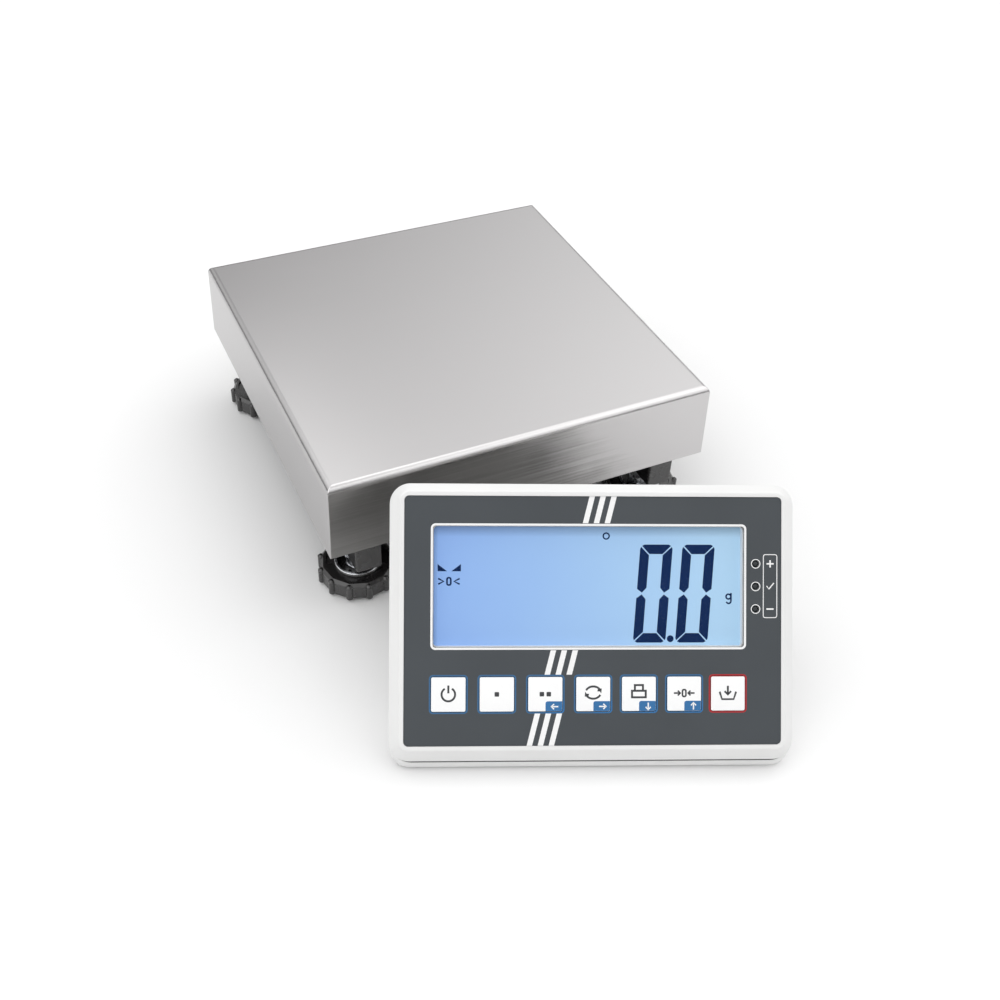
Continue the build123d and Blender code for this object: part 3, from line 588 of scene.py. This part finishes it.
# ---------------------------------------------------------------- keys
FLANGE_HALF = 9.8
FLANGE_LOW = -3.9
FLANGE_HIGH = -3.05
STEM_RADIUS = 3.0
STEM_LOW = -8.2
SIGN_LINE = 0.98                      # width of the signs' lines
TAB_LEFT = 0.1                        # the tab's left and upper edges, from the key's middle
TAB_TOP = -3.5
TAB_CORNER = 1.1


def key_outline(half, radius, u):
    """A rounded square about a key's middle."""
    return rounded_rect(u, half, KEY_V - half, KEY_V + half, radius, 5)


def key_cap(name, u, rim):
    """A key: a white cap with a coloured rim that turns over its rounded edge, its flange and its stem."""
    bm = bmesh.new()
    flange = key_outline(FLANGE_HALF, 1.2, u)
    wall = key_outline(KEY_HALF, KEY_CORNER, u)
    sections = [(flange, FLANGE_LOW), (flange, FLANGE_HIGH), (wall, FLANGE_HIGH), (wall, KEY_TOP - KEY_EDGE)]
    for step in range(1, 6):
        angle = math.radians(18 * step)
        inset = KEY_EDGE * (1 - math.cos(angle))
        drop = KEY_EDGE * (1 - math.sin(angle))
        sections.append((key_outline(KEY_HALF - inset, KEY_CORNER - inset, u), KEY_TOP - drop))
    loft(bm, sections)
    prism(bm, circle(u, KEY_V, STEM_RADIUS), STEM_LOW, FLANGE_LOW)
    cap = finish_mesh(name + "_cap", bm, "key_white", name, DISPLAY, replaces=(name,))
    cap.data.materials.append(LOOKS[rim].material)
    for face in cap.data.polygons:
        if face.center.z < (KEY_TOP - 0.01) * MM:
            face.material_index = 1


def key_frame(bm, low, high, u):
    """Coloured frame printed on the foil round a key's opening."""
    outer = key_outline(FRAME_HALF, FRAME_CORNER, u)
    inner = key_outline(OPENING_HALF, OPENING_CORNER, u)
    band(bm, outer, inner, low, high)


def lower_corner(u, half, radius, steps):
    """The round lower right corner of a key's outline, counter-clockwise."""
    return arc(u + half - radius, KEY_V - half + radius, radius, 270, 360, steps)


def key_tab(bm, low, high, u):
    """Coloured corner tab at the lower right of a key."""
    reach = KEY_HALF - KEY_EDGE
    left, top = u + TAB_LEFT, KEY_V + TAB_TOP
    round_off = arc(left + TAB_CORNER, top - TAB_CORNER, TAB_CORNER, 90, 180, 6)
    corner = lower_corner(u, reach, KEY_CORNER - KEY_EDGE, 6)
    prism(bm, [(left, KEY_V - reach), *corner, (u + reach, top), *round_off], low, high)


def tab_frame(bm, low, high, u):
    """The tab's colour carried over the key's frame on the foil."""
    left, top = u + TAB_LEFT, KEY_V + TAB_TOP
    outer = lower_corner(u, FRAME_HALF, FRAME_CORNER, 8)
    inner = lower_corner(u, OPENING_HALF, OPENING_CORNER, 8)[::-1]
    start, end = (left, KEY_V - FRAME_HALF), (u + FRAME_HALF, top)
    back, close = (u + OPENING_HALF, top), (left, KEY_V - OPENING_HALF)
    prism(bm, [start, *outer, end, back, *inner, close], low, high)


def power_sign(bm, low, high, u):
    """An open ring with an upright line."""
    strip(bm, arc(u, KEY_V, 3.3, 122, 418, 32), SIGN_LINE, low, high)
    strip(bm, [(u, KEY_V + 0.6), (u, KEY_V + 4.4)], SIGN_LINE, low, high)


def dot_signs(bm, low, high, u, count):
    """Function keys: one or two squares."""
    for index in range(count):
        x = u + (index - (count - 1) / 2) * 3.4
        prism(bm, rounded_rect(x, 1.1, KEY_V - 1.1, KEY_V + 1.1, 0.3, 3), low, high)


def cycle_sign(bm, low, high, u):
    """Two curved arrows that follow each other."""
    v = KEY_V + 0.7
    for turn in (0, 180):
        curve = [(u + 1.25 * x, v + y) for x, y in arc(0, 0, 3.0, turn + 22, turn + 158, 20)]
        strip(bm, curve, SIGN_LINE, low, high)
        side = 1 if turn == 0 else -1
        head = [(-0.9, 1.5), (0.9, 1.7), (0.65, -0.75), (0.05, 0.2), (-1.3, 0.35)]
        prism(bm, [(u + side * (3.3 + x), v + side * (0.3 + y)) for x, y in head], low, high + 0.005)


def print_sign(bm, low, high, u):
    """A sheet coming out of a printer."""
    v = KEY_V + 0.6
    strip(bm, [(u - 3.9, v + 0.9), (u + 3.9, v + 0.9)], SIGN_LINE, low, high)
    strip(bm, [(u - 3.9, v - 2.3), (u + 3.9, v - 2.3)], SIGN_LINE, low, high)
    for side in (-1, 1):
        strip(bm, [(u + side * 3.4, v + 0.5), (u + side * 3.4, v - 1.9)], SIGN_LINE, low, high)
        strip(bm, [(u + side * 2.0, v + 1.3), (u + side * 2.0, v + 3.3)], SIGN_LINE, low, high)
    strip(bm, [(u - 2.5, v + 3.7), (u + 2.5, v + 3.7)], SIGN_LINE, low, high)


def zero_sign(bm, low, high, u):
    """The digit 0 between two arrows."""
    v = KEY_V + 0.3
    outer = rounded_rect(u, 1.25, v - 2.1, v + 2.1, 1.1, 5)
    inner = rounded_rect(u, 0.45, v - 1.3, v + 1.3, 0.4, 5)
    band(bm, outer, inner, low, high)
    arrow(bm, u - 3.5, v, 0, 1.65, 0.8, low, high)
    arrow(bm, u + 3.5, v, 180, 1.65, 0.8, low, high)


def tare_sign(bm, low, high, u):
    """An open tray with a downward arrow: the empty container is taken off the reading."""
    rim_v, floor_v = KEY_V + 0.9, KEY_V - 2.8
    tray = [(u - 4.1, rim_v), (u - 2.9, floor_v), (u + 2.9, floor_v), (u + 4.1, rim_v)]
    strip(bm, tray, SIGN_LINE, low, high)
    arrow(bm, u, KEY_V + 1.6, 270, 2.2, SIGN_LINE, low, high)


def tab_arrow(bm, low, high, u, turn):
    """A small arrow on a key's tab."""
    arrow(bm, u + 4.65, KEY_V - 6.1, turn, 1.75, 0.65, low, high)


KEY_SIGNS = {
    "key_power": power_sign,
    "key_f1": partial(dot_signs, count=1),
    "key_f2": partial(dot_signs, count=2),
    "key_cycle": cycle_sign,
    "key_print": print_sign,
    "key_zero": zero_sign,
    "key_tare": tare_sign,
}
TAB_TURNS = {"key_f2": 180, "key_cycle": 0, "key_print": 270, "key_zero": 90}

frames, tab_frames = [], []
for key, u in KEY_U.items():
    rim = "print_red" if key == "key_tare" else "frame_blue"
    key_cap(key, u, rim)
    printed(key + "_sign", [partial(KEY_SIGNS[key], u=u)], "print_ink", key, KEY_TOP)
    if key in TAB_TURNS:
        tab = partial(key_tab, u=u)
        pointer = partial(tab_arrow, u=u, turn=TAB_TURNS[key])
        printed(key + "_tab", [tab], "print_blue", key, KEY_TOP)
        printed(key + "_arrow", [pointer], "print_white", key, KEY_TOP + PRINT)
        tab_frames.append(partial(tab_frame, u=u))
    if key != "key_tare":
        frames.append(partial(key_frame, u=u))
printed("key_frames", frames, "frame_blue")
printed("tare_frame", [partial(key_frame, u=KEY_U["key_tare"])], "print_red")
printed("tab_frames", tab_frames, "print_blue", low=PRINT)


# ---------------------------------------------------------------- digits and signs on the display
DIGIT_WIDTH = 16.3
DIGIT_HEIGHT = 48.8
STROKE = 4.7
SEGMENT_GAP = 0.35
SLANT = 0.076
DIGIT_V = 49.7
DIGITS_U = (20.3, 41.5)
POINT_MARK = (39.1, 51.6)
WEDGE_MARKS = (-71.15, 85.05)         # middle of their base line
ZERO_MARK = (-71.3, 80.05)
RING_MARK = (6.8, 102.7)
UNIT_MARK = (68.4, 72.6)


def segment_outlines():
    """Outlines of the six lit segments of the digit 0, upright, from its lower left corner."""
    width, height, stroke = DIGIT_WIDTH, DIGIT_HEIGHT, STROKE
    middle = height / 2
    tip_v = height - 0.65
    top = [
        (1.7 + SEGMENT_GAP, height),
        (width - 1.7 - SEGMENT_GAP, height),
        (width - 0.9, tip_v),
        (width - stroke - 0.1, height - stroke),
        (stroke + 0.1, height - stroke),
        (0.9, tip_v),
    ]
    upper_left = [
        (0, height - 2.2),
        (0.45, height - 1.15),
        (stroke, height - stroke - 0.6),
        (stroke, middle + 2.9),
        (stroke * 0.55, middle + 0.45),
        (0, middle + 2.3),
    ]
    lower_left, bottom = ([(x, height - y) for x, y in outline] for outline in (upper_left, top))
    left = [upper_left, lower_left]
    right = [[(width - x, y) for x, y in outline] for outline in left]
    return [top, bottom, *left, *right]


def digit(bm, low, high, u):
    """A slanted 0. U is at its lower left corner."""
    for outline in segment_outlines():
        prism(bm, [(u + x + SLANT * y, DIGIT_V + y) for x, y in outline], low, high)


def decimal_point(bm, low, high):
    prism(bm, circle(*POINT_MARK, 1.7), low, high)


def level_marks(bm, low, high):
    """Two small wedges that point at each other: the reading is steady."""
    middle, base = WEDGE_MARKS
    for side in (-1, 1):
        outer, inner = middle + side * 5.75, middle + side * 1.05
        prism(bm, [(outer, base + 3.55), (outer, base), (inner, base)], low, high)


def zero_mark(bm, low, high):
    """The digit 0 between two chevrons."""
    u, v = ZERO_MARK
    outer = rounded_rect(u, 1.35, v - 2.2, v + 2.2, 1.2, 5)
    inner = rounded_rect(u, 0.52, v - 1.4, v + 1.4, 0.45, 5)
    band(bm, outer, inner, low, high)
    for side in (-1, 1):
        chevron = [(u + side * x, v + y) for x, y in ((5.3, 1.4), (2.6, 0.0), (5.3, -1.4))]
        strip(bm, chevron, 0.85, low, high)


def ring_mark(bm, low, high):
    """A small ring above the digits."""
    band(bm, circle(*RING_MARK, 1.85), circle(*RING_MARK, 1.15), low, high)


def unit_mark(bm, low, high):
    """The unit, as a small g."""
    u, v = UNIT_MARK
    band(bm, circle(u, v, 1.6), circle(u, v, 0.8), low, high)
    stem = [(u + 1.3, v + 1.8), (u + 1.3, v - 2.2)]
    hook = arc(u + 0.1, v - 2.2, 1.2, 0, -160, 12)
    strip(bm, stem + hook, 0.8, low, high + 0.005)


digits = [partial(digit, u=u) for u in DIGITS_U]
marks = [decimal_point, level_marks, zero_mark, ring_mark, unit_mark]
printed("lcd_segments", digits + marks, "segment_ink", low=LCD_N + 0.005)


# ---------------------------------------------------------------- threaded studs
STUD_RADIUS = 4.0
STUD_LOW = 4.2
STUD_HIGH = 44.0
THREAD_LOW = 12.6
THREAD_HIGH = 43.2
THREAD_DEPTH = 0.62
PITCH = 1.25
COLLAR_LOW = 6.6
COLLAR_HIGH = 11.5
COLLAR_RADIUS = 7.505                 # to the hexagon's corners
SHOULDER_RADIUS = 6.35
SHOULDER_HIGH = 12.2
WHEEL_TOP = 12.2
RING_PROFILE = (                      # radius, and height above the wheel
    (13.1, 0.0),
    (13.1, 0.25),
    (12.8, 0.5),
    (11.9, 0.5),
    (11.6, 0.25),
    (11.6, 0.0),
)


def thread_ring(z, columns):
    """Points round the stud at a height. The thread's valley winds round once in a pitch."""
    fade = min(1.0, (THREAD_HIGH - z) / 1.5, (z - THREAD_LOW) / 0.6)
    points = []
    for column in range(columns):
        turn = column / columns
        phase = (z / PITCH - turn) % 1.0
        depth = THREAD_DEPTH * (1 - abs(2 * phase - 1)) * fade
        radius = STUD_RADIUS - 0.02 - depth
        angle = 2 * math.pi * turn
        points.append((radius * math.cos(angle), radius * math.sin(angle)))
    return points


def threaded_stud():
    """A levelling stud: hexagon collar, plain foot, a rolled thread up to its chamfered end, and the steel
    ring that lies on the wheel's rim."""
    bm = bmesh.new()
    columns, rows_per_turn = 32, 6
    length = THREAD_HIGH - THREAD_LOW
    count = int(length / PITCH * rows_per_turn)
    rings = []
    for row in range(count + 1):
        z = THREAD_LOW + length * row / count
        rings.append((thread_ring(z, columns), z))
    tip = [(x * 0.85, y * 0.85) for x, y in rings[-1][0]]
    foot = circle(0, 0, STUD_RADIUS, columns)
    loft(bm, [(foot, STUD_LOW), (foot, THREAD_LOW), *rings, (tip, STUD_HIGH)])
    prism(bm, circle(0, 0, COLLAR_RADIUS, 6), COLLAR_LOW, COLLAR_HIGH)
    prism(bm, circle(0, 0, SHOULDER_RADIUS), COLLAR_HIGH, SHOULDER_HIGH)
    profile = [(circle(0, 0, radius, 60), WHEEL_TOP + rise) for radius, rise in RING_PROFILE]
    loft(bm, [*profile, profile[0]], capped=False)
    bmesh.ops.remove_doubles(bm, verts=bm.verts, dist=1e-9)
    return bm


for corner, (x, y) in FEET.items():
    finish_mesh(
        corner + "_thread",
        threaded_stud(),
        "zinc_steel",
        corner + "_star",
        platform_matrix(x, y),
        replaces=(corner + "_stud",),
    )


# ---------------------------------------------------------------- camera, floor and light
VIEWPOINT = (-241.10, -552.38, 499.98)     # from the platform's centre on the bench, in millimetres
VIEW_YAW = 27.189                          # the camera is turned to the right, about Z
VIEW_PITCH = 42.377                        # and looks down
VIEW_ROLL = 3.102                          # with its right side tipped up
LENS = 43.056


def camera():
    """A level camera that faces +Y, turned, tipped and rolled."""
    data = bpy.data.cameras.new("camera")
    data.lens = LENS
    data.sensor_width = 36.0
    data.clip_start = 0.01
    data.clip_end = 50.0
    obj = bpy.data.objects.new("camera", data)
    scene.collection.objects.link(obj)
    yaw = Matrix.Rotation(math.radians(-VIEW_YAW), 3, "Z")
    pitch = Matrix.Rotation(math.radians(90 - VIEW_PITCH), 3, "X")
    roll = Matrix.Rotation(math.radians(VIEW_ROLL), 3, "Z")
    obj.rotation_mode = "QUATERNION"
    obj.rotation_quaternion = (yaw @ pitch @ roll).to_quaternion()
    obj.location = Vector(VIEWPOINT) * MM + platform_matrix().translation
    scene.camera = obj


def floor():
    """A plain pale bench, just under the feet."""
    bm = bmesh.new()
    bmesh.ops.create_grid(bm, x_segments=1, y_segments=1, size=60.0)
    mesh = bpy.data.meshes.new("floor")
    bm.to_mesh(mesh)
    bm.free()
    obj = bpy.data.objects.new("floor", mesh)
    obj.location = (0, 0, -0.0001)
    scene.collection.objects.link(obj)
    look = Look("floor_paper", (0.86, 0.86, 0.86), 0.75)
    obj.data.materials.append(look.material)


def overhead_light():
    """One large soft light over the back of the bench."""
    place = Vector((-0.3, 0.8, 1.5))
    data = bpy.data.lights.new("overhead", "AREA")
    data.shape = "RECTANGLE"
    data.size = 1.6
    data.size_y = 1.2
    data.energy = 4
    obj = bpy.data.objects.new("overhead", data)
    obj.location = place
    obj.rotation_mode = "QUATERNION"
    obj.rotation_quaternion = (-place).to_track_quat("-Z", "Y")
    scene.collection.objects.link(obj)


# How bright the surround is, by the height of the direction it is seen in: 0 level, 1 straight up
SKY = {
    0.0: 0.22,
    0.25: 0.22,
    0.475: 0.08,
    0.515: 0.19,
    0.586: 0.42,
    0.668: 0.30,
    0.8: 0.80,
    0.9: 1.10,
    0.96: 0.70,
    1.0: 0.40,
}
SKY_RANGE = 2.0                       # a ramp's colours stay under 1, so they hold the levels divided by this
RIGHT_GLOW, LEFT_GLOW, FRONT_GLOW = 1.75, -1.5, -0.25
GLOW_HEIGHTS = (0.15, 0.45)           # the side glows fade in between these heights
BACKDROP = 1.0                        # what the camera sees past the floor


def sky_level(tree, height):
    """The surround's brightness at a height."""
    ramp = tree.node("ShaderNodeValToRGB")
    elements = ramp.color_ramp.elements
    elements[1].position = 1.0
    for position in list(SKY)[1:-1]:
        elements.new(position)
    for element, (position, level) in zip(elements, SKY.items()):
        element.position = position
        element.color = (*[level / SKY_RANGE] * 3, 1.0)
    tree.join(height, ramp.inputs["Fac"])
    return tree.math("MULTIPLY", ramp.outputs["Color"], SKY_RANGE)


def sky():
    """A pale surround that lights the object from overhead, from both sides and a little from the front."""
    world = bpy.data.worlds.new("studio")
    world.use_nodes = True
    tree = Tree(world.node_tree)
    direction = tree.split(tree.node("ShaderNodeTexCoord").outputs["Generated"])
    right = tree.math("MULTIPLY", tree.math("MAXIMUM", direction["X"]), RIGHT_GLOW)
    left = tree.math("MULTIPLY", tree.math("MINIMUM", direction["X"]), LEFT_GLOW)
    front = tree.math("MULTIPLY", tree.math("MINIMUM", direction["Y"]), FRONT_GLOW)
    sides = tree.math("ADD", tree.math("ADD", right, left), front)
    lift = tree.span(direction["Z"], 0.0, 1.0, *GLOW_HEIGHTS)
    level = tree.math("ADD", sky_level(tree, direction["Z"]), tree.math("MULTIPLY", sides, lift))
    camera_ray = tree.node("ShaderNodeLightPath").outputs["Is Camera Ray"]
    background = tree.nodes["Background"]
    background.inputs["Color"].default_value = (1.0, 1.0, 1.0, 1.0)
    tree.join(tree.blend(camera_ray, level, BACKDROP), background.inputs["Strength"])
    scene.world = world


camera()
floor()
sky()
overhead_light()
scene.view_settings.view_transform = "Standard"
